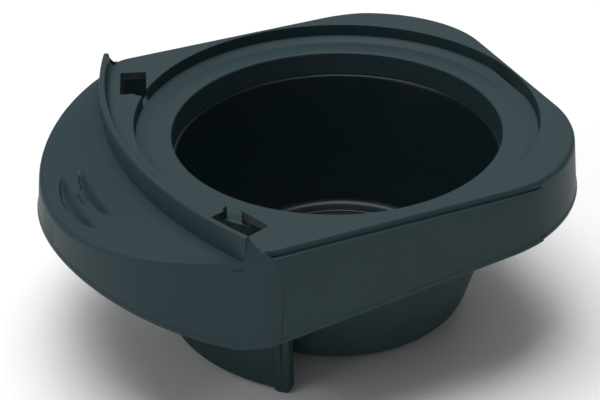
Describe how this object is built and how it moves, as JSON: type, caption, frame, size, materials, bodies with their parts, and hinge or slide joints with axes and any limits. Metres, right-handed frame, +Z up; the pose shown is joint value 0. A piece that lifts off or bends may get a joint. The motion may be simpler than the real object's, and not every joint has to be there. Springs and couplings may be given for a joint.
{
  "type": "coffee capsule holder",
  "caption": "Slide-in plastic capsule holder with a stepped round seat, tapered cup with outlet, curved upstanding rib and sloping front finger grip.",
  "frame": {"origin": "on the capsule bore's axis, at the seat face that the capsule's rim rests on", "axes": "+Z up out of the bore, +X towards the machine, the finger grip at -X, slide rails along X at +Y and -Y"},
  "size_m": [0.0747, 0.063, 0.034],
  "materials": {
    "body": "satin, finely textured, dark anthracite",
    "liner": "smooth, near black"
  },
  "bodies": {
    "root": {"deck_shell": "body", "seat_ring": "body", "cup_liner": "liner", "cup_housing": "body", "drip_apron": "body", "stop_rib": "body", "grip_shell": "body", "side_cheek_left": "body", "side_cheek_right": "body"}
  },
  "joints": []
}
